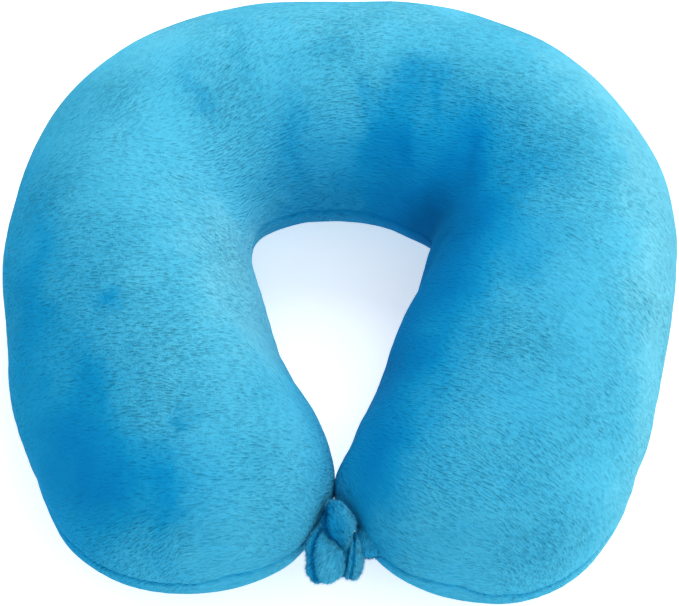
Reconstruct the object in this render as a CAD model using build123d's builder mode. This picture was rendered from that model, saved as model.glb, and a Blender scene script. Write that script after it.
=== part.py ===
from build123d import *

import os
from math import cos, pi, radians, sin

# U-shaped travel neck pillow with a removable plush cover, modelled in millimetres.
#
# The pillow lies on its underside with +Z up. The wearer's neck goes in the open middle, the back of the
# neck is towards +Y, and the two arms meet at the front, towards -Y, where a plush toggle and loop close them.
# From outside to inside the pillow is a plush cover of a top and a bottom panel sewn edge to edge, a thin
# liner bag, and the fibre fill. The soft body bends where each arm leaves the back, so every layer is made
# in three lengths: the back, and an arm on each side. The cover opens with a zip along the outer back seam.

os.makedirs("parts", exist_ok=True)

# Layers, from the outside in
SEAM_Z = 47.0  # height of the seam between the top and bottom panels
PLUSH = 2.5  # cover wall: knitted backing and pile
LAYER_GAP = 0.5  # slack between two layers
LINER = 0.8  # liner wall
LINER_INSET = PLUSH + LAYER_GAP
FILL_INSET = LINER_INSET + LINER + LAYER_GAP
FLEX_GAP = 0.6  # between an arm and the back, where the pillow bends

# The tube is drawn by rungs, each across it from the outer seam to the neck seam:
# (outer x, outer y, neck x, neck y, half height of the tube there)
LEFT_BEND = (-147.2, 50.0, -40.8, 12.4, 51.5)
RIGHT_BEND = (149.7, 53.5, 40.2, 13.9, 51.5)
BACK_RUNGS = [
    LEFT_BEND,
    (-129.8, 94.3, -39.8, 24.4, 51.0),
    (-94.2, 126.2, -34.2, 33.4, 50.5),
    (-48.2, 142.8, -20.2, 38.9, 50.0),
    (-0.2, 145.4, -2.2, 40.4, 50.0),
    (46.8, 142.8, 16.2, 37.9, 50.0),
    (94.8, 126.3, 32.2, 31.4, 50.5),
    (129.6, 94.4, 42.2, 24.4, 51.0),
    RIGHT_BEND,
]
LEFT_END = (-122.8, -114.6, -9.8, -114.6, 49.0)
RIGHT_END = (120.0, -114.6, 7.2, -114.6, 49.0)
LEFT_RUNGS = [
    LEFT_BEND,
    (-153.6, 11.7, -37.2, -1.1, 52.0),
    (-149.8, -26.1, -27.2, -31.1, 52.5),
    (-143.8, -62.6, -9.8, -65.1, 52.5),
    (-133.2, -92.6, -3.0, -92.6, 51.5),
    LEFT_END,
]
RIGHT_RUNGS = [
    RIGHT_BEND,
    (153.7, 11.7, 36.2, 1.1, 52.0),
    (147.7, -26.1, 22.8, -31.1, 52.5),
    (138.9, -62.6, 8.9, -65.1, 52.5),
    (129.8, -92.6, -1.2, -92.6, 51.5),
    RIGHT_END,
]
# The rounded end of each arm, and its furthest point
LEFT_CAP = [
    LEFT_END,
    (-118.8, -120.6, -13.2, -120.6, 46.0),
    (-112.2, -126.6, -18.9, -126.6, 41.0),
    (-102.8, -132.6, -29.8, -132.6, 33.0),
    (-90.2, -137.6, -46.2, -137.6, 20.0),
]
RIGHT_CAP = [
    RIGHT_END,
    (115.3, -121.6, 10.8, -121.6, 46.5),
    (109.0, -129.1, 17.8, -129.1, 41.0),
    (99.5, -136.6, 29.8, -136.6, 32.5),
    (87.2, -142.6, 51.2, -142.6, 19.5),
]
LEFT_TIP = (-68.8, -141.3)
RIGHT_TIP = (69.8, -146.5)

# Zip, along the outer back seam on one long arc. Depths are measured inwards from that seam.
ZIP_RADIUS = 400.0
ZIP_CENTRE = (-0.3, 145.4 - ZIP_RADIUS)
SLOT_HALF_HEIGHT, SLOT_HALF_ANGLE = 5.0, 8.9
TAPE_HALF_HEIGHT, TAPE_HALF_ANGLE = 11.0, 9.2
TAPE_DEPTHS = (2.3, 2.9)
COIL_DEPTHS = (1.5, 3.6)
COIL_EDGE = 2.6  # from the seam to the outer side of the coil
COIL_START, COIL_END = -7.9, 7.3  # degrees along the arc
TOOTH_PITCH, TOOTH_LENGTH, TOOTH_OVERLAP = 2.0, 0.8, 0.6
CHANNEL_DEPTH, CHANNEL_HALF_HEIGHT, CHANNEL_HALF_ANGLE = 6.5, 12.0, 9.8  # room in the liner and fill
SLIDER_ANGLE = 7.4  # closed, at the +X end of the zip
SLIDER_LENGTH, SLIDER_WIDTH, SLIDER_PLATE = 11.0, 8.6, 1.1
SLIDER_OUTER_DEPTH, SLIDER_INNER_DEPTH = 0.1, 5.0
RAIL_WIDTH = 0.8
HINGE_BAR_RADIUS, HINGE_BAR_OUT = 0.7, 1.4  # the bar that the pull turns on, and its place outside the seam
HINGE_CLEARANCE = 0.08
PULL_LENGTH, PULL_WIDTH, PULL_THICK = 22.0, 5.6, 1.1

# Closure: a plush loop on the left arm round the waist of a knotted plush toggle on the right arm
CLOSURE = Plane(origin=(-2.7, -117.6, 52.0), x_dir=(0, 1, 0), z_dir=(1, 0, 0))  # Z is the toggle's axis
LOOP_RADIUS = 9.2  # to the middle of the loop's rolled strap
LOOP_HALF_THICK, LOOP_HALF_WIDTH = 2.1, 3.6
LOOP_CLEARANCE = 0.5
LEG_ANGLE, LEG_LENGTH, LEG_WIDTH, LEG_THICK = 66.0, 11.5, 6.0, 3.4  # where the loop runs back into its arm
WAIST_RADIUS = 6.0
WAIST_START, WAIST_END = -5.1, 6.0  # along the axis from the middle of the loop
KNOB_CENTRE, KNOB_RADIUS, KNOB_START, KNOB_END, KNOB_ROUND = (-12.0, -8.0), 10.0, -9.4, -4.1, 2.6
FOLD_CENTRE, FOLD_RADIUS, FOLD_START, FOLD_END, FOLD_ROUND = (-10.2, -8.0), 9.5, 4.1, 12.1, 3.5
ROOT_CENTRE, ROOT_HALF_SIZES = (13.8, -124.6, 47.0), (3.8, 5.5, 7.0)


def section(rung, inset):
    """The elliptical slice of the tube that stands on one rung."""
    outer = Vector(rung[0], rung[1], SEAM_Z)
    neck = Vector(rung[2], rung[3], SEAM_Z)
    across = neck - outer
    plane = Plane(origin=(outer + neck) / 2, x_dir=across, z_dir=across.cross(Vector(0, 0, 1)))
    with BuildSketch(plane) as slice_sketch:
        Ellipse(across.length / 2 - inset, rung[4] - inset)
    return slice_sketch.sketch.faces()[0]


def shifted(rung, distance):
    """The same rung, moved along the tube towards the front."""
    across = Vector(rung[2] - rung[0], rung[3] - rung[1], 0).normalized()
    along = across.cross(Vector(0, 0, 1))
    if along.Y > 0:
        along = -along
    step = along * distance
    return (rung[0] + step.X, rung[1] + step.Y, rung[2] + step.X, rung[3] + step.Y, rung[4])


def back_envelope(inset=0.0):
    """The back's length of the tube, at a depth below the cover's outer face, flat where it rests."""
    slices = [section(rung, inset) for rung in BACK_RUNGS]
    with BuildPart() as body:
        loft(sections=slices)
        split(bisect_by=Plane.XY.offset(inset), keep=Keep.TOP)
    return body.part


def arm_envelope(rungs, cap, tip, inset=0.0):
    """One arm's length of the tube and its rounded end, at a depth below the cover's outer face."""
    arm_slices = [section(rung, inset) for rung in [shifted(rungs[0], FLEX_GAP), *rungs[1:]]]
    end_y = cap[0][1]
    drawn_in = (tip[1] + inset - end_y) / (tip[1] - end_y)
    cap_slices = []
    for outer_x, outer_y, neck_x, neck_y, half_height in cap:
        y = end_y + (outer_y - end_y) * drawn_in
        cap_slices.append(section((outer_x, y, neck_x, y, half_height), inset))
    with BuildPart() as body:
        loft(sections=arm_slices)
        loft(sections=[*cap_slices, Vertex(tip[0], tip[1] + inset, SEAM_Z)])
        split(bisect_by=Plane.XY.offset(inset), keep=Keep.TOP)
    return body.part


def zip_band(depths, angles, low, high):
    """A bar bent along the zip's arc, between two depths, two angles and two heights above the seam."""
    start, end = angles
    with BuildPart() as band:
        with BuildSketch(Plane.XY.offset(SEAM_Z + low)):
            with BuildLine():
                outside = CenterArc(ZIP_CENTRE, ZIP_RADIUS - depths[0], 90 - end, end - start)
                inside = CenterArc(ZIP_CENTRE, ZIP_RADIUS - depths[1], 90 - end, end - start)
                Line(outside @ 0, inside @ 0)
                Line(outside @ 1, inside @ 1)
            make_face()
        extrude(amount=high - low)
    return band.part


def zip_plane(angle):
    """On the seam at an angle along the zip: X along the zip, Z straight out of the pillow."""
    out = (sin(radians(angle)), cos(radians(angle)), 0)
    along = (cos(radians(angle)), -sin(radians(angle)), 0)
    origin = (ZIP_CENTRE[0] + ZIP_RADIUS * out[0], ZIP_CENTRE[1] + ZIP_RADIUS * out[1], SEAM_Z)
    return Plane(origin=origin, x_dir=along, z_dir=out)


def channel(inset):
    """The room that the zip takes in the layer at this depth."""
    extra = inset - LINER_INSET
    half_angle = CHANNEL_HALF_ANGLE + extra / 7
    return zip_band(
        (-20.0, CHANNEL_DEPTH + extra),
        (-half_angle, half_angle),
        -CHANNEL_HALF_HEIGHT - extra,
        CHANNEL_HALF_HEIGHT + extra,
    )


def save(part, name):
    """Labels one finished piece and writes it."""
    part.label = name
    export_step(part, f"parts/{name}.step")


def make_cover(name, outer, inner, has_zip=False):
    """The top and bottom plush panels of one length of the pillow."""
    for panel, keep in (("top", Keep.TOP), ("bottom", Keep.BOTTOM)):
        with BuildPart() as cover:
            add(outer)
            add(inner, mode=Mode.SUBTRACT)
            split(bisect_by=Plane.XY.offset(SEAM_Z), keep=keep)
            if has_zip:
                slot_span = (-SLOT_HALF_ANGLE, SLOT_HALF_ANGLE)
                add(
                    zip_band((-20.0, 12.0), slot_span, -SLOT_HALF_HEIGHT, SLOT_HALF_HEIGHT),
                    mode=Mode.SUBTRACT,
                )
                rebate = TAPE_HALF_HEIGHT + 0.2
                rebate_span = (-TAPE_HALF_ANGLE - 0.1, TAPE_HALF_ANGLE + 0.1)
                add(
                    zip_band((TAPE_DEPTHS[0] - 0.1, 12.0), rebate_span, -rebate, rebate),
                    mode=Mode.SUBTRACT,
                )
        save(cover.part, f"cover_{panel}_{name}")


def make_liner(name, outer, inner, has_zip=False):
    """The liner bag of one length of the pillow."""
    with BuildPart() as liner:
        add(outer)
        if has_zip:
            add(channel(LINER_INSET), mode=Mode.SUBTRACT)
        with BuildPart(mode=Mode.PRIVATE) as hollow:
            add(inner)
            if has_zip:
                add(channel(LINER_INSET + LINER), mode=Mode.SUBTRACT)
        add(hollow.part, mode=Mode.SUBTRACT)
    save(liner.part, f"liner_{name}")


def make_fill(name, envelope, has_zip=False):
    """The fibre fill of one length of the pillow."""
    with BuildPart() as fill:
        add(envelope)
        if has_zip:
            add(channel(FILL_INSET), mode=Mode.SUBTRACT)
    save(fill.part, f"fibre_fill_{name}")


def make_layers(name, envelope, has_zip=False):
    """Cover, liner and fill of one length, from a function that gives its shape at a depth."""
    make_cover(name, envelope(0.0), envelope(PLUSH), has_zip)
    make_liner(name, envelope(LINER_INSET), envelope(LINER_INSET + LINER), has_zip)
    make_fill(name, envelope(FILL_INSET), has_zip)


def make_zip_tapes():
    """Two woven tapes, sewn behind the cover's lips above and below the coil."""
    tape_span = (-TAPE_HALF_ANGLE, TAPE_HALF_ANGLE)
    upper = zip_band(TAPE_DEPTHS, tape_span, COIL_EDGE, TAPE_HALF_HEIGHT)
    lower = zip_band(TAPE_DEPTHS, tape_span, -TAPE_HALF_HEIGHT, -COIL_EDGE)
    save(upper, "zip_tape_upper")
    save(lower, "zip_tape_lower")


def make_zip_coils():
    """Two rows of coil teeth that interlock along the seam, each on the cord at its tape's edge."""
    pitch_angle = TOOTH_PITCH / ZIP_RADIUS * 180 / pi
    count = int((COIL_END - COIL_START) / pitch_angle)
    thick = COIL_DEPTHS[1] - COIL_DEPTHS[0]
    cord_depths = (COIL_DEPTHS[0] + 0.3, COIL_DEPTHS[1] - 0.3)
    for name, side in (("zip_coil_upper", 1), ("zip_coil_lower", -1)):
        offset = 0.25 if side > 0 else 0.75
        low, high = sorted((side * (COIL_EDGE - 1.0), side * COIL_EDGE))
        reach = COIL_EDGE + TOOTH_OVERLAP
        teeth = []
        for number in range(count):
            place = zip_plane(COIL_START + (number + offset) * pitch_angle)
            centre = place * Pos(0, -side * (COIL_EDGE - reach / 2), -COIL_DEPTHS[0] - thick / 2)
            teeth.append(centre * Box(TOOTH_LENGTH, reach, thick))
        with BuildPart() as coil:
            add(zip_band(cord_depths, (COIL_START, COIL_END), low, high))
            add(teeth)
        save(coil.part, name)


def make_zip_stops():
    """The stops crimped on the chain: one on each tape at the closed end, one bridge at the open end."""
    stop_depths = (COIL_DEPTHS[0] - 0.2, COIL_DEPTHS[1] + 0.2)
    for name, side in (("zip_top_stop_upper", 1), ("zip_top_stop_lower", -1)):
        low, high = sorted((side * 0.4, side * (COIL_EDGE + 0.8)))
        tape_low, tape_high = sorted((side * COIL_EDGE, side * (COIL_EDGE + 1.0)))
        with BuildPart() as top_stop:
            add(zip_band(stop_depths, (8.35, 8.65), low, high))
            add(zip_band(TAPE_DEPTHS, (8.3, 8.7), tape_low, tape_high), mode=Mode.SUBTRACT)
        save(top_stop.part, name)
    with BuildPart() as bottom_stop:
        add(zip_band(stop_depths, (-8.4, -7.95), -COIL_EDGE, COIL_EDGE))
    save(bottom_stop.part, "zip_bottom_stop")


def make_zip_slider():
    """The slider: two plates round the chain, rails along their sides, a wedge post and the pull's bridge."""
    place = zip_plane(SLIDER_ANGLE)
    outer_face = -SLIDER_OUTER_DEPTH
    inner_face = -SLIDER_INNER_DEPTH
    plate_gap = SLIDER_INNER_DEPTH - SLIDER_OUTER_DEPTH - 2 * SLIDER_PLATE
    with BuildPart() as slider:
        with BuildSketch(place.offset(outer_face - SLIDER_PLATE)):
            RectangleRounded(SLIDER_LENGTH, SLIDER_WIDTH, 1.8)
        extrude(amount=SLIDER_PLATE)
        with BuildSketch(place.offset(inner_face)):
            RectangleRounded(SLIDER_LENGTH, SLIDER_WIDTH, 1.8)
        extrude(amount=SLIDER_PLATE)
        with BuildSketch(place.offset(inner_face + SLIDER_PLATE)):
            with Locations((SLIDER_LENGTH / 2 - 1.1, 0)):
                RectangleRounded(1.6, 1.6, 0.5)
        extrude(amount=plate_gap)
        rail_y = (SLIDER_WIDTH - RAIL_WIDTH) / 2
        rail_length = SLIDER_LENGTH - 4.0
        with BuildSketch(place.offset(outer_face - SLIDER_PLATE)):
            with Locations((0, rail_y), (0, -rail_y)):
                Rectangle(rail_length, RAIL_WIDTH)
        extrude(amount=-(TAPE_DEPTHS[0] - 0.2 - SLIDER_OUTER_DEPTH - SLIDER_PLATE))
        with BuildSketch(place.offset(inner_face + SLIDER_PLATE)):
            with Locations((0, rail_y), (0, -rail_y)):
                Rectangle(rail_length, RAIL_WIDTH)
        extrude(amount=SLIDER_INNER_DEPTH - SLIDER_PLATE - TAPE_DEPTHS[1] - 0.2)
        with BuildSketch(place.offset(outer_face)):
            with Locations((0, 2.6), (0, -2.6)):
                Rectangle(2.6, 1.0)
        extrude(amount=HINGE_BAR_OUT + 0.9 - outer_face)
        bar_end = Plane(origin=place.from_local_coords((0, -2.6, HINGE_BAR_OUT)), z_dir=place.y_dir)
        with BuildSketch(bar_end):
            Circle(HINGE_BAR_RADIUS)
        extrude(amount=5.2)
    save(slider.part, "zip_slider")


def make_zip_pull():
    """The pull tab: an eye round the slider's bar and a flat, rounded tongue with a grip hole."""
    place = zip_plane(SLIDER_ANGLE)
    eye_width = 3.8
    eye_end = place.from_local_coords((0, -eye_width / 2, HINGE_BAR_OUT))
    with BuildPart() as pull:
        with BuildSketch(Plane(origin=eye_end, z_dir=place.y_dir)):
            Circle(HINGE_BAR_RADIUS + 0.65)
        extrude(amount=eye_width)
        with BuildSketch(place.offset(HINGE_BAR_OUT - PULL_THICK / 2)):
            with Locations((-3.5, 0)):
                Rectangle(7.0, eye_width)
            with Locations((-PULL_LENGTH / 2 - 2.0, 0)):
                RectangleRounded(PULL_LENGTH - 4.0, PULL_WIDTH, 2.2)
        extrude(amount=PULL_THICK)
        with BuildSketch(Plane(origin=eye_end, z_dir=place.y_dir)):
            Circle(HINGE_BAR_RADIUS + HINGE_CLEARANCE)
        extrude(amount=eye_width, mode=Mode.SUBTRACT)
        with BuildSketch(place.offset(HINGE_BAR_OUT - PULL_THICK / 2)):
            with Locations((-PULL_LENGTH + 4.2, 0)):
                SlotOverall(5.4, 2.4)
        extrude(amount=PULL_THICK, mode=Mode.SUBTRACT)
    save(pull.part, "zip_pull")


def loop_ring(extra=0.0):
    """The rolled strap of the loop, bent to a ring about the toggle's axis."""
    middle = CLOSURE.origin
    with BuildPart() as ring:
        with BuildSketch(Plane(origin=middle, x_dir=(1, 0, 0), z_dir=(0, 0, 1))):
            with Locations((0, LOOP_RADIUS)):
                Ellipse(LOOP_HALF_WIDTH + extra, LOOP_HALF_THICK + extra)
        revolve(axis=Axis(middle, (1, 0, 0)))
    return ring.part


def make_closure_loop(left_outer):
    """The plush loop, and the leg that runs back into the left arm's neck seam."""
    with BuildPart() as loop:
        add(loop_ring())
        with BuildSketch(CLOSURE):
            with PolarLocations(LOOP_RADIUS, 1, start_angle=LEG_ANGLE):
                RectangleRounded(LEG_THICK, LEG_WIDTH, 1.2)
        extrude(amount=-LEG_LENGTH)
        add(left_outer, mode=Mode.SUBTRACT)
    with BuildPart() as outside_arm:
        add(loop.part.solids().sort_by(SortBy.VOLUME)[-1])
    save(outside_arm.part, "closure_loop")


def padded_disc(centre, radius, start, end, rounding):
    """A fat plush disc across the toggle's axis, with its rims rounded over."""
    with BuildPart() as disc:
        with BuildSketch(CLOSURE.offset(start)):
            with Locations(centre):
                Circle(radius)
        extrude(amount=end - start)
        fillet(disc.edges().filter_by(GeomType.CIRCLE), rounding)
    return disc.part


def make_toggle():
    """The knotted toggle: a waist through the loop, between its round knob and its folded end."""
    with BuildPart() as toggle:
        with BuildSketch(CLOSURE.offset(WAIST_START)):
            Circle(WAIST_RADIUS)
        extrude(amount=WAIST_END - WAIST_START)
        add(padded_disc(KNOB_CENTRE, KNOB_RADIUS, KNOB_START, KNOB_END, KNOB_ROUND))
        add(padded_disc(FOLD_CENTRE, FOLD_RADIUS, FOLD_START, FOLD_END, FOLD_ROUND))
    save(toggle.part, "closure_toggle")


def make_toggle_root(right_outer):
    """The gathered root of the toggle's strap, sewn into the right arm's neck seam."""
    with BuildPart() as lump:
        Sphere(1.0)
        scale(by=ROOT_HALF_SIZES)
    with BuildPart() as root:
        with Locations(ROOT_CENTRE):
            add(lump.part)
        add(right_outer, mode=Mode.SUBTRACT)
    save(root.part, "toggle_root")


def left_envelope(inset=0.0):
    """The left arm at a depth."""
    return arm_envelope(LEFT_RUNGS, LEFT_CAP, LEFT_TIP, inset)


def right_envelope(inset=0.0):
    """The right arm at a depth."""
    return arm_envelope(RIGHT_RUNGS, RIGHT_CAP, RIGHT_TIP, inset)


make_layers("back", back_envelope, has_zip=True)
make_layers("left_arm", left_envelope)
make_layers("right_arm", right_envelope)
make_zip_tapes()
make_zip_coils()
make_zip_stops()
make_zip_slider()
make_zip_pull()
make_closure_loop(left_envelope())
make_toggle()
make_toggle_root(right_envelope())
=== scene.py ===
import math

import bpy
import numpy as np
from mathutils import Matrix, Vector


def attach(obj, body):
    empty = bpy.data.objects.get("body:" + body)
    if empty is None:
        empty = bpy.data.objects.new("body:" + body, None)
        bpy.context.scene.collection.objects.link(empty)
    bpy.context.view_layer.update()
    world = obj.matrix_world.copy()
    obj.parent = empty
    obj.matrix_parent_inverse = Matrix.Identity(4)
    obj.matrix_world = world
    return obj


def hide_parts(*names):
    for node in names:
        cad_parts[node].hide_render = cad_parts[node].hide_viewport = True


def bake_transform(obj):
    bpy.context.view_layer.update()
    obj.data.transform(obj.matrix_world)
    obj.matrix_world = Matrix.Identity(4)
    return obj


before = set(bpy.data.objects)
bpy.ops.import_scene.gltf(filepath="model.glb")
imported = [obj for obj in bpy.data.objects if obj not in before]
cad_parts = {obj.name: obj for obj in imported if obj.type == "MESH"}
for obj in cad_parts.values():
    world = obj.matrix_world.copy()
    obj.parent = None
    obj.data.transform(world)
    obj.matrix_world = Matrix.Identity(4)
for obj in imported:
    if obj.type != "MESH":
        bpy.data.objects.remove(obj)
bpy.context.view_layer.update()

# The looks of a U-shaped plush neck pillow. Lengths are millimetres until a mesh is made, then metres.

MM = 0.001

# Height of the side seams, and the arc that the zip follows in the outer back seam
SEAM_Z = 47.0
ZIP_RADIUS = 400.0
ZIP_CENTRE = (-0.3, 145.4 - ZIP_RADIUS)

# Rungs across the stuffed tube, from the left arm's end round the back to the right arm's end:
# outer seam x and y, neck seam x and y, half height
LEFT_TIP, RIGHT_TIP = (-68.8, -141.3), (69.8, -146.5)
RUNGS = [
    (-90.2, -137.6, -46.2, -137.6, 20.0),
    (-102.8, -132.6, -29.8, -132.6, 33.0),
    (-112.2, -126.6, -18.9, -126.6, 41.0),
    (-118.8, -120.6, -13.2, -120.6, 46.0),
    (-122.8, -114.6, -9.8, -114.6, 49.0),
    (-133.2, -92.6, -3.0, -92.6, 51.5),
    (-143.8, -62.6, -9.8, -65.1, 52.5),
    (-149.8, -26.1, -27.2, -31.1, 52.5),
    (-153.6, 11.7, -37.2, -1.1, 52.0),
    (-147.2, 50.0, -40.8, 12.4, 51.5),
    (-129.8, 94.3, -39.8, 24.4, 51.0),
    (-94.2, 126.2, -34.2, 33.4, 50.5),
    (-48.2, 142.8, -20.2, 38.9, 50.0),
    (-0.2, 145.4, -2.2, 40.4, 50.0),
    (46.8, 142.8, 16.2, 37.9, 50.0),
    (94.8, 126.3, 32.2, 31.4, 50.5),
    (129.6, 94.4, 42.2, 24.4, 51.0),
    (149.7, 53.5, 40.2, 13.9, 51.5),
    (153.7, 11.7, 36.2, 1.1, 52.0),
    (147.7, -26.1, 22.8, -31.1, 52.5),
    (138.9, -62.6, 8.9, -65.1, 52.5),
    (129.8, -92.6, -1.2, -92.6, 51.5),
    (120.0, -114.6, 7.2, -114.6, 49.0),
    (115.3, -121.6, 10.8, -121.6, 46.5),
    (109.0, -129.1, 17.8, -129.1, 41.0),
    (99.5, -136.6, 29.8, -136.6, 32.5),
    (87.2, -142.6, 51.2, -142.6, 19.5),
]


# ---------------------------------------------------------------- numbers

def spline(knots, values, at):
    """A natural cubic spline through values at knots."""
    knots, values = np.asarray(knots, float), np.asarray(values, float)
    n, gap = len(knots), np.diff(knots)
    matrix, right = np.zeros((n, n)), np.zeros((n, values.shape[1]))
    matrix[0, 0] = matrix[-1, -1] = 1.0
    slope = np.diff(values, axis=0) / gap[:, None]
    for k in range(1, n - 1):
        matrix[k, k - 1], matrix[k, k + 1] = gap[k - 1], gap[k]
        matrix[k, k] = 2 * (gap[k - 1] + gap[k])
        right[k] = 6 * (slope[k] - slope[k - 1])
    curl = np.linalg.solve(matrix, right)
    k = np.clip(np.searchsorted(knots, at) - 1, 0, n - 2)
    h, a, b = gap[k][:, None], (knots[k + 1] - at)[:, None], (at - knots[k])[:, None]
    curve = (curl[k] * a**3 + curl[k + 1] * b**3) / (6 * h)
    return curve + (values[k] / h - curl[k] * h / 6) * a + (values[k + 1] / h - curl[k + 1] * h / 6) * b


def lattice(i, j, k, seed):
    """A repeatable value from 0 to 1 for each whole-number place."""
    mixed = i * 73856093 ^ j * 19349663 ^ k * 83492791 ^ seed * 2654435761
    mixed = (mixed ^ (mixed >> 13)) * 1274126177
    mixed = mixed ^ (mixed >> 16)
    return (mixed & 0xFFFF) / 65535.0


def noise(points, size, seed=1):
    """Smooth noise from -1 to 1 with lumps of about this size, at points in the same units."""
    scaled = points / size
    whole = np.floor(scaled).astype(np.int64)
    part = scaled - whole
    part = part * part * (3 - 2 * part)
    total = 0.0
    for dx in (0, 1):
        for dy in (0, 1):
            for dz in (0, 1):
                weight = np.abs(1 - dx - part[..., 0]) * np.abs(1 - dy - part[..., 1])
                weight = weight * np.abs(1 - dz - part[..., 2])
                corner = lattice(whole[..., 0] + dx, whole[..., 1] + dy, whole[..., 2] + dz, seed)
                total = total + weight * corner
    return 2 * total - 1


def step(low, high, value):
    """0 below low, 1 above high, smooth between."""
    t = np.clip((value - low) / (high - low), 0, 1)
    return t * t * (3 - 2 * t)


def blob(points, x, y, half_x, half_y, turn=0.0):
    """A soft patch seen from above, 1 in its middle."""
    c, s = math.cos(math.radians(turn)), math.sin(math.radians(turn))
    across, along = points[..., 0] - x, points[..., 1] - y
    u, v = (across * c + along * s) / half_x, (along * c - across * s) / half_y
    return np.exp(-(u * u + v * v))


# ---------------------------------------------------------------- the stuffed tube

def tube_controls():
    """Middle, half width vector and half height of the tube, by distance along its skin from tip to tip."""
    outer, neck, height = np.split(np.array(RUNGS), [2, 4], axis=1)
    rungs = np.hstack([outer / 2 + neck / 2, neck / 2 - outer / 2, height])
    values = np.vstack([[*LEFT_TIP, 0, 0, 0], rungs, [*RIGHT_TIP, 0, 0, 0]])
    width = np.hypot(values[:, 2], values[:, 3])
    along = np.hypot(*np.diff(values[:, :2], axis=0).T)
    reach = np.hypot(along, np.abs(np.diff(width)) + np.abs(np.diff(values[:, 4])) * 0.3)
    place = np.concatenate([[0], np.cumsum(reach)])
    flip = np.array([1, 1, -1, -1, -1])
    before, after = values[3:0:-1] * flip, values[-2:-5:-1] * flip
    knots = np.concatenate([-place[3:0:-1], place, 2 * place[-1] - place[-2:-5:-1]])
    return knots, np.concatenate([before, values, after]), place[-1]


KNOTS, CONTROLS, LENGTH = tube_controls()


def tube(rows, columns):
    """The tube's skin: rows of points from tip to tip, columns round it from the outer seam over the top."""
    at = np.linspace(0, LENGTH, rows)
    at[0], at[-1] = 0.02, LENGTH - 0.02
    shape = spline(KNOTS, CONTROLS, at)
    turn = np.linspace(0, 2 * math.pi, columns, endpoint=False)
    middle, half, height = shape[:, :2], shape[:, 2:4], shape[:, 4]
    points = np.empty((rows, columns, 3))
    points[..., :2] = middle[:, None] - half[:, None] * np.cos(turn)[None, :, None]
    points[..., 2] = SEAM_Z + height[:, None] * np.sin(turn)
    return points


def rested(points, soft=1.2):
    """Points with their underside settled flat on the ground."""
    settled = points.copy()
    settled[..., 2] = soft * np.logaddexp(0, points[..., 2] / soft)
    return settled


def normals(points):
    """Outward unit normals of a grid of points."""
    along = np.gradient(points, axis=0)
    around = np.roll(points, -1, axis=1) - np.roll(points, 1, axis=1)
    out = np.cross(along, around)
    length = np.linalg.norm(out, axis=-1, keepdims=True)
    out = out / np.maximum(length, 1e-12)
    for end, side in ((0, 1), (-1, -2)):
        mean = out[side].mean(axis=0)
        out[end] = mean / np.linalg.norm(mean)
    if ((points - points.mean(axis=1, keepdims=True)) * out).sum() < 0:
        out = -out
    return out


def resample(grid, rows, columns):
    """A coarse grid of values, closed round its columns, carried smoothly to a finer grid."""

    def weights(count, new, closed):
        place = np.arange(new) * (count / new if closed else (count - 1) / (new - 1))
        base = np.floor(place).astype(int)
        t = place - base
        parts = (
            (1 - t) ** 3 / 6,
            (3 * t**3 - 6 * t**2 + 4) / 6,
            (-3 * t**3 + 3 * t**2 + 3 * t + 1) / 6,
            t**3 / 6,
        )
        matrix = np.zeros((new, count))
        for offset, part in zip((-1, 0, 1, 2), parts):
            index = (base + offset) % count if closed else np.clip(base + offset, 0, count - 1)
            matrix[np.arange(new), index] += part
        return matrix

    along = np.tensordot(weights(grid.shape[0], rows, False), grid, axes=(1, 0))
    return np.tensordot(weights(grid.shape[1], columns, True), along, axes=(1, 1)).transpose(1, 0, 2)


def grid_faces(rows, columns, close_columns, pole_start, pole_end):
    """Faces over a grid whose first or last row may be one point, and the grid places that they use."""
    index = np.arange(rows * columns).reshape(rows, columns)
    if pole_start:
        index[0] = index[0, 0]
    if pole_end:
        index[-1] = index[-1, 0]
    used, index = np.unique(index, return_inverse=True)
    index = index.reshape(rows, columns)
    last = columns if close_columns else columns - 1
    faces = []
    for i in range(rows - 1):
        for j in range(last):
            k = (j + 1) % columns
            face = [index[i, j], index[i, k], index[i + 1, k], index[i + 1, j]]
            face = [v for n, v in enumerate(face) if v != face[n - 1]]
            faces.append(face)
    return faces, used


def add_mesh(name, points, faces):
    """A smooth-shaded object from points in millimetres."""
    mesh = bpy.data.meshes.new(name)
    mesh.from_pydata((points * MM).tolist(), [], faces)
    mesh.polygons.foreach_set("use_smooth", [True] * len(mesh.polygons))
    mesh.update()
    made = bpy.data.objects.new(name, mesh)
    bpy.context.scene.collection.objects.link(made)
    return made


def paint(piece, name, kind, values):
    """Stores one value or vector for each vertex."""
    attribute = piece.data.attributes.new(name, kind, "POINT")
    field = "value" if kind == "FLOAT" else "vector"
    attribute.data.foreach_set(field, np.asarray(values, np.float32).ravel())


SWELL_FRAMES = 22


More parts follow.
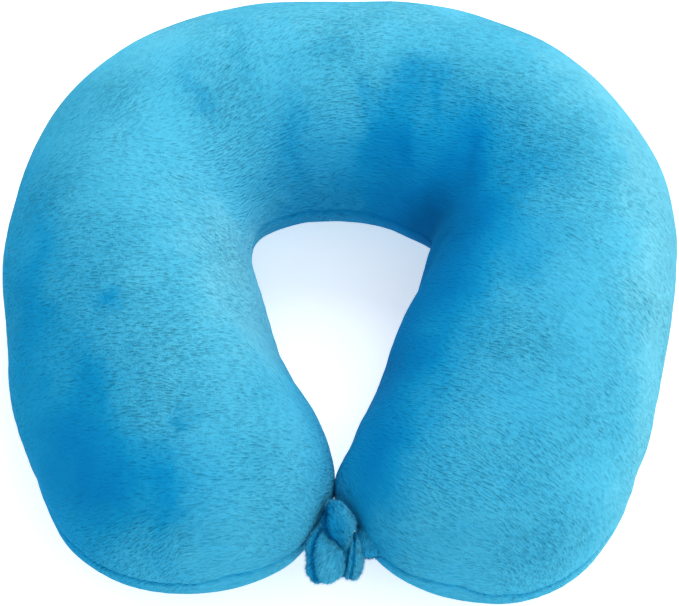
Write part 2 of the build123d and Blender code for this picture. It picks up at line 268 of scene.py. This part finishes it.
def puffed(rows, columns):
    """How far the stuffing swells each point of a coarse skin, as a sewn bag: a cloth simulation."""
    start = rested(tube(rows, columns), 2.0)
    faces, used = grid_faces(rows, columns, True, True, True)
    bag = add_mesh("puff_work", start.reshape(-1, 3)[used], faces)
    seam = bag.vertex_groups.new(name="seam")
    on_seam = np.zeros((rows, columns), bool)
    on_seam[:, 0] = on_seam[:, columns // 2] = True
    seam.add(np.flatnonzero(on_seam.reshape(-1)[used]).tolist(), 1.0, "REPLACE")
    cloth = bag.modifiers.new("Cloth", "CLOTH")
    cloth.point_cache.frame_start, cloth.point_cache.frame_end = 1, SWELL_FRAMES
    settings = cloth.settings
    settings.quality = 6
    settings.mass = 0.25
    settings.tension_stiffness = settings.compression_stiffness = 25
    settings.shear_stiffness = 15
    settings.bending_stiffness = 1.5
    settings.effector_weights.gravity = 0
    settings.use_pressure = True
    settings.uniform_pressure_force = 3.0
    settings.vertex_group_shrink = "seam"
    settings.shrink_min, settings.shrink_max = 0.0, 0.05
    scene = bpy.context.scene
    scene.frame_start, scene.frame_end = 1, SWELL_FRAMES
    for number in range(1, SWELL_FRAMES + 1):
        scene.frame_set(number)
    done = bag.evaluated_get(bpy.context.evaluated_depsgraph_get()).to_mesh()
    moved = np.empty(len(done.vertices) * 3)
    done.vertices.foreach_get("co", moved)
    scene.frame_set(1)
    mesh = bag.data
    bpy.data.objects.remove(bag)
    bpy.data.meshes.remove(mesh)
    shift = np.zeros((rows * columns, 3))
    shift[used] = moved.reshape(-1, 3) / MM - start.reshape(-1, 3)[used]
    shift = shift.reshape(rows, columns, 3)
    shift[0], shift[-1] = shift[1].mean(axis=0), shift[-2].mean(axis=0)
    return shift


def zip_bearing(points):
    """Degrees round the zip's arc, 0 at the middle of the back."""
    return np.degrees(np.arctan2(points[..., 0] - ZIP_CENTRE[0], points[..., 1] - ZIP_CENTRE[1]))


def smoothed(field, passes):
    """A grid field with its short waves averaged away."""
    for _ in range(passes):
        longer = np.concatenate([field[:1], field, field[-1:]])
        field = (longer[:-2] + 2 * field + longer[2:]) / 4
        field = (np.roll(field, 1, axis=1) + 2 * field + np.roll(field, -1, axis=1)) / 4
    return field


# ---------------------------------------------------------------- materials

def new_material(name):
    """A node material, its tree and its shader."""
    material = bpy.data.materials.new(name)
    material.use_nodes = True
    tree = material.node_tree
    shader = tree.nodes["Principled BSDF"]
    return material, tree, shader


def node(tree, kind, **settings):
    """A node with its settings and unlinked inputs filled in."""
    made = tree.nodes.new(kind)
    for key, value in settings.items():
        if key.startswith("in_"):
            made.inputs[key[3:].replace("_", " ")].default_value = value
        else:
            setattr(made, key, value)
    return made


def maths(tree, operation, first, second, clamp=False):
    """One arithmetic node on sockets or numbers."""
    made = tree.nodes.new("ShaderNodeMath")
    made.operation = operation
    made.use_clamp = clamp
    for socket, value in zip(made.inputs, (first, second)):
        if isinstance(value, (int, float)):
            socket.default_value = value
        else:
            tree.links.new(value, socket)
    return made.outputs[0]


def ramp(tree, factor, stops):
    """Colours along a factor."""
    made = tree.nodes.new("ShaderNodeValToRGB")
    made.color_ramp.interpolation = "LINEAR"
    while len(made.color_ramp.elements) < len(stops):
        made.color_ramp.elements.new(0.5)
    for element, (place, colour) in zip(made.color_ramp.elements, stops):
        element.position = place
        element.color = (*colour, 1)
    tree.links.new(factor, made.inputs["Fac"])
    return made.outputs["Color"]


def srgb(red, green, blue):
    """Screen colour, 0 to 255, as scene-linear."""
    shares = (red / 255, green / 255, blue / 255)
    return tuple(c / 12.92 if c <= 0.0404 else ((c + 0.055) / 1.055) ** 2.4 for c in shares)


# Size of a tuft in the pile, how far apart it is sampled along its lie, and how often to each side
TUFT_SCALE, TUFT_STEP, TUFT_TAPS = 1120.0, 0.00045, 2


def plush_material():
    """Short brushed pile: colour from its tone, which holds how the pile lies and painted light and shade,
    fine streaks of tufts along it, and a sheen.
    """
    material, tree, shader = new_material("plush")
    rest = node(tree, "ShaderNodeAttribute", attribute_name="rest").outputs["Vector"]
    lie = node(tree, "ShaderNodeAttribute", attribute_name="lie").outputs["Vector"]
    tone = node(tree, "ShaderNodeAttribute", attribute_name="tone").outputs["Fac"]
    ripple = node(tree, "ShaderNodeAttribute", attribute_name="ripple").outputs["Fac"]
    total = None
    for number in range(-TUFT_TAPS, TUFT_TAPS + 1):
        shift = node(tree, "ShaderNodeVectorMath", operation="SCALE", in_Scale=number * TUFT_STEP)
        tree.links.new(lie, shift.inputs[0])
        placed = node(tree, "ShaderNodeVectorMath", operation="ADD")
        tree.links.new(rest, placed.inputs[0])
        tree.links.new(shift.outputs[0], placed.inputs[1])
        tufts = node(tree, "ShaderNodeTexNoise", in_Scale=TUFT_SCALE, in_Detail=1.0, in_Roughness=0.5)
        tree.links.new(placed.outputs[0], tufts.inputs["Vector"])
        height = tufts.outputs["Fac"]
        total = height if total is None else maths(tree, "ADD", total, height)
    # Streaks of tufts along the lie; in the colour they are the pile's own texture and painted light and
    # shade of its relief, with extra painted shade in the hollows between tufts
    streak = maths(tree, "SUBTRACT", total, TUFT_TAPS + 0.5)
    hollow_shade = maths(tree, "MINIMUM", maths(tree, "ADD", streak, 0.15), 0.0)
    hollow_shade = maths(tree, "MULTIPLY", hollow_shade, 0.35)
    streak = maths(tree, "ADD", maths(tree, "MULTIPLY", streak, 0.75), hollow_shade)
    streak = maths(tree, "MULTIPLY", streak, ripple)
    fuzz = node(tree, "ShaderNodeTexNoise", in_Scale=2600.0, in_Detail=2.0, in_Roughness=0.6)
    tree.links.new(rest, fuzz.inputs["Vector"])
    fine = maths(tree, "MULTIPLY", maths(tree, "SUBTRACT", fuzz.outputs["Fac"], 0.5), 0.12)
    level = maths(tree, "ADD", tone, fine)
    factor = maths(tree, "ADD", level, maths(tree, "MULTIPLY", streak, 0.15), True)
    colour = ramp(tree, factor, [
        (0.0, srgb(2, 96, 152)),
        (0.18, srgb(2, 119, 180)),
        (0.35, srgb(13, 138, 192)),
        (0.5, srgb(38, 154, 202)),
        (0.7, srgb(66, 174, 212)),
        (0.84, srgb(82, 188, 222)),
        (1.0, srgb(114, 205, 230)),
    ])
    tree.links.new(colour, shader.inputs["Base Color"])
    bump = node(tree, "ShaderNodeBump", in_Strength=0.85, in_Distance=0.0016)
    tree.links.new(maths(tree, "ADD", streak, fine), bump.inputs["Height"])
    tree.links.new(bump.outputs["Normal"], shader.inputs["Normal"])
    shader.inputs["Roughness"].default_value = 0.95
    shader.inputs["Specular IOR Level"].default_value = 0.03
    shader.inputs["Sheen Weight"].default_value = 0.25
    shader.inputs["Sheen Roughness"].default_value = 0.5
    shader.inputs["Sheen Tint"].default_value = (*srgb(40, 190, 240), 1)
    return material


def cloth_material(name, dark, light, scale, rough):
    """A plain woven or fibrous cloth with two tones of thread."""
    material, tree, shader = new_material(name)
    place = node(tree, "ShaderNodeTexCoord").outputs["Object"]
    threads = [
        node(tree, "ShaderNodeTexWave", bands_direction=direction, in_Scale=scale, in_Distortion=0.4)
        for direction in ("X", "Z")
    ]
    for wave in threads:
        tree.links.new(place, wave.inputs["Vector"])
    weave = maths(tree, "MULTIPLY", threads[0].outputs["Fac"], threads[1].outputs["Fac"])
    lumps = node(tree, "ShaderNodeTexNoise", in_Scale=scale / 3, in_Detail=3.0)
    tree.links.new(place, lumps.inputs["Vector"])
    lumpy = maths(tree, "MULTIPLY", lumps.outputs["Fac"], 0.5)
    factor = maths(tree, "ADD", maths(tree, "MULTIPLY", weave, 0.6), lumpy)
    tree.links.new(ramp(tree, factor, [(0.1, dark), (0.9, light)]), shader.inputs["Base Color"])
    bump = node(tree, "ShaderNodeBump", in_Strength=0.4, in_Distance=0.0002)
    tree.links.new(weave, bump.inputs["Height"])
    tree.links.new(bump.outputs["Normal"], shader.inputs["Normal"])
    shader.inputs["Roughness"].default_value = rough
    return material


def metal_material(name, dark, light):
    """Enamelled die-cast metal with faint casting texture and rubbed tone."""
    material, tree, shader = new_material(name)
    place = node(tree, "ShaderNodeTexCoord").outputs["Object"]
    grain = node(tree, "ShaderNodeTexNoise", in_Scale=900.0, in_Detail=4.0)
    tree.links.new(place, grain.inputs["Vector"])
    colour = ramp(tree, grain.outputs["Fac"], [(0.3, dark), (0.7, light)])
    tree.links.new(colour, shader.inputs["Base Color"])
    rough = maths(tree, "ADD", maths(tree, "MULTIPLY", grain.outputs["Fac"], 0.2), 0.22)
    tree.links.new(rough, shader.inputs["Roughness"])
    bump = node(tree, "ShaderNodeBump", in_Strength=0.15, in_Distance=0.0001)
    tree.links.new(grain.outputs["Fac"], bump.inputs["Height"])
    tree.links.new(bump.outputs["Normal"], shader.inputs["Normal"])
    shader.inputs["Metallic"].default_value = 0.6
    shader.inputs["Coat Weight"].default_value = 0.3
    return material


PLUSH = plush_material()
LINER = cloth_material("liner_cloth", srgb(205, 206, 200), srgb(240, 240, 236), 1500.0, 0.85)
FIBRE = cloth_material("fibre", srgb(222, 222, 220), srgb(248, 248, 246), 500.0, 0.95)
TAPE = cloth_material("zip_tape", srgb(0, 70, 125), srgb(15, 110, 170), 2400.0, 0.8)
COIL = cloth_material("zip_coil", srgb(0, 80, 140), srgb(20, 120, 180), 900.0, 0.4)
METAL = metal_material("zip_metal", srgb(10, 92, 150), srgb(40, 130, 185))


# ---------------------------------------------------------------- how the pile lies, with painted light and shade

# Lightness of the pile away from any patch, as a place along the plush's colours
BASE_TONE = 0.68
# (place along the tube as a share of its length, direction of the tufts seen from above, degrees)
LIE = [
    (0.0, 8),
    (0.12, 6),
    (0.24, 4),
    (0.34, 6),
    (0.40, 40),
    (0.455, 38),
    (0.50, -4),
    (0.56, -8),
    (0.66, -10),
    (0.74, -22),
    (0.84, -30),
    (1.0, -34),
]
# Patches of darker or lighter tone, seen from above: x, y, half x, half y, turn, strength. Some are pile
# brushed dark or light; others are painted light along the top of the back and the right arm's outer side,
# and painted shade on the inner walls by the neck, mostly the right arm's
PATCHES = [
    (-148, -40, 40, 120, 0, -0.28),
    (-116, -110, 34, 40, 10, -0.25),
    (-76, -112, 38, 20, 0, -0.16),
    (-45, -20, 34, 62, 0, 0.18),
    (-90, 46, 38, 46, 0, 0.15),
    (-20, 128, 140, 38, 0, 0.20),
    (105, 92, 36, 40, 0, 0.14),
    (-90, 112, 36, 26, 0, 0.08),
    (-14, 34, 32, 28, 0, -0.24),
    (50, 30, 34, 34, 0, -0.46),
    (25, 64, 12, 24, -12, -0.30),
    (60, 62, 17, 20, 0, -0.20),
    (34, -22, 26, 36, -14, -0.36),
    (64, -6, 20, 26, 0, -0.18),
    (14, -76, 26, 52, -8, -0.42),
    (152, 20, 34, 120, 0, 0.25),
    (112, -100, 34, 50, 0, 0.03),
    (-128, 8, 9, 22, 5, -0.12),
    (-134, -34, 8, 26, 0, -0.12),
    (-102, -27, 7, 5, 20, -0.26),
    (-110, -62, 7, 14, 0, -0.20),
    (-108, -86, 18, 16, 0, -0.14),
    (-96, -106, 13, 20, 10, -0.12),
    (-62, -81, 4, 6, 0, -0.20),
    (-74, -118, 6, 20, 0, -0.14),
    (-61, 74, 5, 15, 25, -0.18),
    (-22, 62, 6, 18, 5, -0.12),
    (-44, 92, 5, 16, 10, -0.10),
    (10, 76, 4, 10, 15, -0.12),
    (33, 55, 4, 9, 0, -0.12),
    (45, 76, 4, 9, 0, -0.14),
    (64, 44, 6, 14, 0, -0.14),
    (44, 22, 13, 16, 0, -0.14),
    (-6, 96, 14, 12, 0, -0.10),
    (35, 88, 16, 12, 0, -0.12),
    (18, -104, 16, 22, 0, -0.14),
]


def pile(points, out, along_share, seed=3):
    """Direction of the tufts, their tone (how light they lie, with painted light and shade) and how much
    they ripple, at each point of the skin.
    """
    angle = np.interp(along_share, [a for a, _ in LIE], [b for _, b in LIE])
    angle = np.radians(angle + 14 * noise(points, 34.0, seed) + 8 * noise(points, 12.0, seed + 1))
    flat = np.stack([np.cos(angle), np.sin(angle), 0 * angle], -1)
    lie = flat - out * (flat * out).sum(-1, keepdims=True)
    steep = 1 - out[..., 2:] ** 2
    down = np.zeros_like(out)
    down[..., 2] = -np.sign(flat * out).sum(-1)
    down = down - out * (down * out).sum(-1, keepdims=True)
    lie = lie + 0.9 * steep**2 * down
    lie = lie / np.maximum(np.linalg.norm(lie, axis=-1, keepdims=True), 1e-9)
    wander = points + 7.0 * np.stack([noise(points, 17.0, seed + k) for k in (5, 6, 7)], -1)
    wander = wander + 2.5 * np.stack([noise(points, 5.0, seed + k) for k in (8, 9, 10)], -1)
    tone = BASE_TONE + 0.04 * noise(points, 42.0, seed + 2) + 0.03 * noise(points, 9.0, seed + 4)
    top = step(-0.9, -0.4, out[..., 2])
    # Patches of brushed pile, and of painted light and shade, on the skin that faces up
    for x, y, half_x, half_y, turn, strength in PATCHES:
        tone = tone + strength * top * blob(wander, x, y, half_x, half_y, turn)
    # Painted light on the sides that face +X, as though lit from the right
    tone = tone + 0.24 * np.clip(out[..., 0], 0, 1) ** 2
    tone = np.clip(tone, 0.0, 1.0)
    ripple = (0.25 + 0.75 * step(0.1, 0.6, tone)) * (0.75 + 0.4 * noise(points, 26.0, seed + 11))
    return lie, tone, ripple


def dress(piece, points, lie, tone, ripple):
    """Gives a plush piece its pile and material."""
    paint(piece, "rest", "FLOAT_VECTOR", points * MM)
    paint(piece, "lie", "FLOAT_VECTOR", lie)
    paint(piece, "tone", "FLOAT", tone)
    paint(piece, "ripple", "FLOAT", ripple)
    piece.data.materials.append(PLUSH)


# ---------------------------------------------------------------- the cover

# The skin's grid, its column along the neck seam, and the coarse grid that is simulated
ROWS, COLUMNS = 880, 340
NECK_COLUMN = COLUMNS // 2
COARSE_ROWS, COARSE_COLUMNS = 150, 72
# How much of the swell is kept, and the most it may be
SWELL_SHARE, SWELL_LIMIT = 0.45, 4.0
SEAM_DEPTH, SEAM_HALF_WIDTH = 1.1, 1.3
SLOT_DEPTH = 6.4
TUFT_HEIGHT = 0.14

# The stuffing's local swells, without the change of the whole shape
swell = puffed(COARSE_ROWS, COARSE_COLUMNS)
swell = swell - smoothed(swell, 60)
swollen = np.linalg.norm(swell, axis=-1, keepdims=True)
swell = SWELL_SHARE * swell * np.minimum(1, SWELL_LIMIT / np.maximum(swollen, 1e-9))

skin = tube(ROWS, COLUMNS) + resample(swell, ROWS, COLUMNS)
out = normals(skin)
share = np.linspace(0, 1, ROWS)[:, None] * np.ones((1, COLUMNS))

# Uneven stuffing
skin = skin + out * (0.8 * noise(skin, 46.0, 11) + 0.35 * noise(skin, 19.0, 12))[..., None]

# The arm ends are drawn together behind the closure
right_push = 3.7 * blob(skin, 0.0, -101.0, 16.0, 12.0) - 2.8 * blob(skin, 4.0, -79.0, 18.0, 12.0)
left_push = 1.7 * blob(skin, 0.0, -99.0, 16.0, 13.0)
facing = step(0.5, 0.95, -out[..., 0]) * right_push + step(0.5, 0.95, out[..., 0]) * left_push
skin = skin + out * (facing * np.exp(-(((skin[..., 2] - SEAM_Z) / 24.0) ** 2)))[..., None]

# The arms' outer sides bulge
bulge = 1.8 * step(0.4, 0.9, out[..., 0]) * blob(skin, 150.0, -30.0, 40.0, 60.0)
bulge = bulge + 1.2 * step(0.4, 0.9, -out[..., 0]) * blob(skin, -150.0, -30.0, 40.0, 50.0)
skin = skin + out * bulge[..., None]

# The zip's tapes hold the back seam to its curve
above = skin[..., 2] - SEAM_Z
bearing = zip_bearing(skin)
held = (1 - step(10.0, 14.0, np.abs(bearing))) * (1 - step(12.0, 20.0, np.abs(above)))
held = held * step(110, 122, skin[..., 1])
skin = skin + (tube(ROWS, COLUMNS) - skin) * held[..., None]

# The seam draws in, with small gathers beside it
above = skin[..., 2] - SEAM_Z
beside = np.exp(-(np.abs(above) / 7.0))
gather = noise(np.stack([skin[..., 0], skin[..., 1], 0 * above], -1), 9.0, 21)
drawn = -SEAM_DEPTH * np.exp(-((above / SEAM_HALF_WIDTH) ** 2)) + 0.35 * gather * beside
skin = skin + out * drawn[..., None]

# The zip's slot in the outer back seam
bearing = zip_bearing(skin)
behind = step(120, 125, skin[..., 1])
slot = (1 - step(8.75, 9.0, np.abs(bearing))) * (1 - step(4.6, 5.6, np.abs(above))) * behind
inwards = np.stack([-np.sin(np.radians(bearing)), -np.cos(np.radians(bearing)), 0 * bearing], -1)
skin = skin + inwards * (SLOT_DEPTH * slot)[..., None]

out = normals(skin)
lie, tone, ripple = pile(skin, out, share)

# Tufts that stand out a little
tufts = sum(noise(skin + lie * shift, 2.1, 31) for shift in (-2.0, -1.0, 0.0, 1.0, 2.0)) / 5
skin = skin + out * (TUFT_HEIGHT * tufts * (0.3 + 0.7 * ripple) * (1 - slot))[..., None]
skin = rested(skin)
out = normals(skin)
# Painted shade along the seam's drawn-in groove
tone = tone * (1 - 0.25 * np.exp(-((above / 2.2) ** 2)))

middle_row = int(np.argmin(np.abs(skin[:, :NECK_COLUMN, 0].mean(axis=1))))


def bend(piece):
    """Bakes the piece's placement into its mesh."""
    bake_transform(piece)


def cover_piece(panel, side):
    """One half of one cover panel, cut from the skin."""
    rows = slice(0, middle_row + 1) if side == "left" else slice(middle_row, ROWS)
    columns = np.arange(NECK_COLUMN + 1) if panel == "top" else np.arange(NECK_COLUMN, COLUMNS + 1) % COLUMNS

    def cut(field):
        block = field[rows][:, columns]
        return block.reshape(-1, *block.shape[2:])

    count = len(range(*rows.indices(ROWS)))
    faces, used = grid_faces(count, len(columns), False, side == "left", side == "right")
    piece = add_mesh(f"cover_{panel}_{side}", cut(skin)[used], faces)
    piece.data.normals_split_custom_set_from_vertices(cut(out)[used].tolist())
    dress(piece, cut(skin)[used], cut(lie)[used], cut(tone)[used], cut(ripple)[used])
    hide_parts(f"cover_{panel}_back", f"cover_{panel}_{side}_arm")
    bend(piece)


for panel in ("top", "bottom"):
    for side in ("left", "right"):
        cover_piece(panel, side)


# ---------------------------------------------------------------- liner and fill

def inner_layer(name, inset, material):
    """A closed layer under the cover, in two halves that step back from the zip."""
    rows, columns = 161, 64
    shape = tube(rows, columns)
    shape = shape - normals(shape) * inset
    shape[..., 2] = np.maximum(shape[..., 2], inset)
    bearing = zip_bearing(shape)
    near = (1 - step(9.0, 12.0, np.abs(bearing))) * (1 - step(9.0, 16.0, np.abs(shape[..., 2] - SEAM_Z)))
    near = near * step(118, 124, shape[..., 1])
    shape[..., 1] -= 6.0 * near
    half = rows // 2
    for side, block in (("left", shape[: half + 1]), ("right", shape[half:])):
        faces, used = grid_faces(len(block), columns, True, side == "left", side == "right")
        piece = add_mesh(f"{name}_{side}", block.reshape(-1, 3)[used], faces)
        piece.data.materials.append(material)
        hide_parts(f"{name}_back", f"{name}_{side}_arm")
        bend(piece)


inner_layer("liner", 3.4, LINER)
inner_layer("fibre_fill", 5.2, FIBRE)


# ---------------------------------------------------------------- closure

# Rows and columns of a strap's skin, and the way its face turns, up and forward
STRAP_ROWS, STRAP_COLUMNS = 110, 110
STRAP_FACING = np.array([0.0, -0.44, 0.9])
# Loose tufts on each strap, and half the width of one at its root
TUFTS, TUFT_HALF_WIDTH = 5000, 0.09


def loose_tufts(points, out, grain, shade, seed):
    """Tufts of pile that stand off a strap: their corners, three to a tuft, with their lie and lightness."""
    random = np.random.default_rng(seed)
    margin = 4 * STRAP_COLUMNS
    chosen = random.integers(margin, len(points) - margin, TUFTS)
    base, along = points[chosen], grain[chosen]
    stand = out[chosen] + 0.5 * random.normal(size=(TUFTS, 3))
    tip = base + (along + 0.9 * stand) * random.uniform(0.5, 1.2, TUFTS)[:, None]
    wide = np.cross(along, stand)
    wide = TUFT_HALF_WIDTH * wide / np.maximum(np.linalg.norm(wide, axis=1, keepdims=True), 1e-9)
    blades = np.stack([base - wide, base + wide, tip], axis=1).reshape(-1, 3)
    # The tufts are 0.12 lighter: a painted highlight on the loose pile
    return blades, np.repeat(along, 3, axis=0), np.repeat(shade[chosen] + 0.12, 3)


def strand(name, node_name, body, path, creases, slant, light, lit, blunt, seed):
    """A stuffed, folded length of plush strap.

    path rows are x, y, z, half width, half thickness and roll in degrees; creases are (turn in degrees,
    depth, width) lengthwise folds, turned from the side facing up and forward, with painted shade in them;
    slant turns the pile off the strap's length; light is how light the pile lies and lit paints light on
    its +X edge; the higher blunt is, the squarer its ends.
    """
    path = np.array(path, float)
    knots = np.concatenate([[0], np.cumsum(np.linalg.norm(np.diff(path[:, :3], axis=0), axis=1))])
    along = np.linspace(0, 1, STRAP_ROWS)
    course = spline(knots, path, along * knots[-1])
    forward = np.gradient(course[:, :3], axis=0)
    forward /= np.linalg.norm(forward, axis=1, keepdims=True)
    face = STRAP_FACING - forward * (forward @ STRAP_FACING)[:, None]
    face /= np.linalg.norm(face, axis=1, keepdims=True)
    side = np.cross(face, forward)
    roll = np.radians(course[:, 5])[:, None]
    face, side = face * np.cos(roll) + side * np.sin(roll), side * np.cos(roll) - face * np.sin(roll)

    # The skin round the strap, its folds and its lumps
    close = np.sqrt(np.maximum(1 - np.abs(2 * along - 1) ** blunt, 0))[:, None]
    turn = np.linspace(0, 2 * math.pi, STRAP_COLUMNS, endpoint=False)[None]
    wide, thick = course[:, 3:4] * close * np.sin(turn), course[:, 4:5] * close * np.cos(turn)
    world = course[:, None, :3] + side[:, None] * wide[..., None] + face[:, None] * thick[..., None]
    out = normals(world)
    # Tone: the strap's lightness, painted light on its +X edge by lit, and random mottling
    tone = light + lit * np.sin(turn) + 0.10 * noise(world, 6.0, seed + 1)
    # Each crease is drawn in and darkened with painted shade
    for place, depth, width in creases:
        off = np.abs((np.degrees(turn) - place + 180) % 360 - 180) / width + 0 * along[:, None]
        fold = np.exp(-(off**2)) * step(0, 0.25, close)
        world = world - out * (depth * fold)[..., None]
        tone = tone - 0.45 * fold
    world = world + out * (0.7 * noise(world, 5.0, seed) + 0.25 * noise(world, 1.8, seed + 2))[..., None]
    world[0], world[-1] = world[1].mean(axis=0), world[-2].mean(axis=0)

    # The pile on it
    out = normals(world)
    lean = math.radians(slant)
    across = np.cross(out, np.broadcast_to(forward[:, None], out.shape))
    lie = forward[:, None] * math.cos(lean) + across * math.sin(lean)
    lie = lie - out * (lie * out).sum(-1, keepdims=True)
    lie = lie / np.maximum(np.linalg.norm(lie, axis=-1, keepdims=True), 1e-9)

    faces, used = grid_faces(STRAP_ROWS, STRAP_COLUMNS, True, True, True)
    swept = np.cross(np.gradient(world, axis=0), np.roll(world, -1, 1) - world)
    if ((world - course[:, None, :3]) * swept).sum() > 0:
        faces = [corners[::-1] for corners in faces]
    points, grain, shade = world.reshape(-1, 3)[used], lie.reshape(-1, 3)[used], tone.reshape(-1)[used]
    blades, blade_grain, blade_shade = loose_tufts(points, out.reshape(-1, 3)[used], grain, shade, seed)
    faces = faces + (len(points) + np.arange(3 * TUFTS).reshape(-1, 3)).tolist()
    points, grain = np.concatenate([points, blades]), np.concatenate([grain, blade_grain])
    shade = np.clip(np.concatenate([shade, blade_shade]), 0, 1)

    piece = add_mesh(name, points, faces)
    dress(piece, points, grain, shade, 0.8 + 0 * shade)
    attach(piece, body)
    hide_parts(node_name)


strand(
    "closure_loop_over",
    "closure_loop",
    "left_arm",
    path=[
        (-5.8, -108.6, 53.0, 1.6, 1.8, -20),
        (-3.4, -109.0, 58.0, 2.4, 2.2, -16),
        (-2.0, -112.4, 60.8, 5.0, 2.6, -10),
        (-0.8, -117.8, 60.6, 7.2, 2.8, -6),
        (0.8, -122.8, 57.2, 5.6, 2.6, -4),
        (1.8, -126.8, 51.8, 2.4, 2.0, 0),
    ],
    creases=[(-56, 0.6, 14)],
    slant=28,
    light=0.42,
    lit=0.24,
    blunt=2.0,
    seed=47,
)
strand(
    "closure_loop_under",
    "closure_loop",
    "left_arm",
    path=[
        (-9.0, -109.5, 48.0, 3.0, 2.4, 0),
        (-4.6, -108.4, 46.0, 3.4, 2.0, 0),
        (-1.6, -111.4, 42.4, 3.6, 1.8, 0),
        (0.2, -117.6, 41.0, 3.6, 1.8, 0),
        (1.2, -123.6, 43.4, 3.4, 1.8, 0),
        (2.0, -127.2, 48.4, 2.4, 1.8, 0),
    ],
    creases=[],
    slant=10,
    light=0.30,
    lit=0.0,
    blunt=3.0,
    seed=53,
)
strand(
    "toggle_knob",
    "closure_toggle",
    "toggle",
    path=[
        (-4.2, -116.2, 53.4, 5.0, 3.4, 0),
        (-5.2, -120.6, 52.8, 6.8, 4.4, 0),
        (-6.0, -125.6, 50.2, 8.4, 5.8, 0),
        (-5.6, -131.0, 45.2, 9.0, 6.4, 0),
        (-3.6, -135.4, 38.6, 8.8, 6.0, 0),
    ],
    creases=[(-47, 1.7, 12)],
    slant=-38,
    light=0.60,
    lit=0.08,
    blunt=6.0,
    seed=41,
)
strand(
    "toggle_fold",
    "closure_toggle",
    "toggle",
    path=[
        (5.4, -118.4, 50.2, 3.8, 3.0, 0),
        (5.4, -122.0, 50.4, 4.4, 4.4, 0),
        (5.0, -126.8, 47.8, 4.8, 5.2, 0),
        (4.3, -131.0, 43.0, 5.4, 5.6, 0),
        (3.2, -134.4, 37.6, 5.6, 5.0, 0),
    ],
    creases=[(-28, 1.6, 14), (12, 0.8, 12)],
    slant=24,
    light=0.60,
    lit=0.10,
    blunt=6.0,
    seed=44,
)
strand(
    "toggle_strap_root",
    "toggle_root",
    "right_arm",
    path=[
        (4.6, -120.0, 47.0, 4.0, 3.6, 0),
        (8.6, -121.8, 48.6, 6.8, 5.2, 0),
        (13.0, -121.8, 49.4, 8.0, 6.2, 0),
        (18.4, -119.2, 50.2, 7.6, 5.6, 0),
        (24.0, -115.0, 50.0, 5.0, 4.0, 0),
    ],
    creases=[],
    slant=80,
    light=0.46,
    lit=0.0,
    blunt=3.0,
    seed=50,
)


# ---------------------------------------------------------------- zip

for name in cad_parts:
    if not name.startswith("zip"):
        continue
    material = TAPE if "tape" in name else COIL if "coil" in name else METAL
    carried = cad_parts[name]
    if not carried.material_slots:
        carried.data.materials.append(material)
    for material_slot in carried.material_slots:
        material_slot.material = material


# ---------------------------------------------------------------- floor, light, camera

# Where the lamps point, and the camera's height angle, distance, aim and lens
LAMP_AIM = (0, 0, 0.04)
ELEVATION, DISTANCE = math.radians(64.0), 1.0
TARGET = (-0.00025, -0.0076, 0.048)
SENSOR, LENS = 36.0, 117.0


def floor():
    """A plain pale floor."""
    bpy.ops.mesh.primitive_plane_add(size=16.0, location=(0, 0, -0.0002))
    plane = bpy.context.object
    plane.name = "floor"
    material, tree, shader = new_material("pale_floor")
    shader.inputs["Base Color"].default_value = (0.92, 0.92, 0.92, 1)
    shader.inputs["Roughness"].default_value = 0.9
    shader.inputs["Emission Color"].default_value = (1, 1, 1, 1)
    shader.inputs["Emission Strength"].default_value = 0.45
    plane.data.materials.append(material)


def softbox(name, place, size, power):
    """A large square lamp that faces the pillow."""
    lamp = bpy.data.lights.new(name, "AREA")
    lamp.shape = "SQUARE"
    lamp.size = size
    lamp.energy = power
    made = bpy.data.objects.new(name, lamp)
    made.location = place
    bpy.context.scene.collection.objects.link(made)
    direction = (Vector(LAMP_AIM) - made.location).normalized()
    made.rotation_euler = direction.to_track_quat("-Z", "Y").to_euler()


floor()
world = bpy.data.worlds.new("studio")
world.use_nodes = True
world.node_tree.nodes["Background"].inputs["Color"].default_value = (1, 1, 1, 1)
world.node_tree.nodes["Background"].inputs["Strength"].default_value = 0.77
bpy.context.scene.world = world
softbox("key", (0.35, 0.8, 1.3), 0.8, 11.0)
softbox("fill", (0.7, -0.9, 1.2), 1.6, 9.0)

lens = bpy.data.cameras.new("camera")
lens.sensor_width = SENSOR
lens.lens = LENS
camera = bpy.data.objects.new("camera", lens)
camera.location = (
    TARGET[0],
    TARGET[1] - DISTANCE * math.cos(ELEVATION),
    TARGET[2] + DISTANCE * math.sin(ELEVATION),
)
camera.rotation_euler = (math.pi / 2 - ELEVATION, 0, 0)
bpy.context.scene.collection.objects.link(camera)
bpy.context.scene.camera = camera
bpy.context.scene.view_settings.view_transform = "Standard"
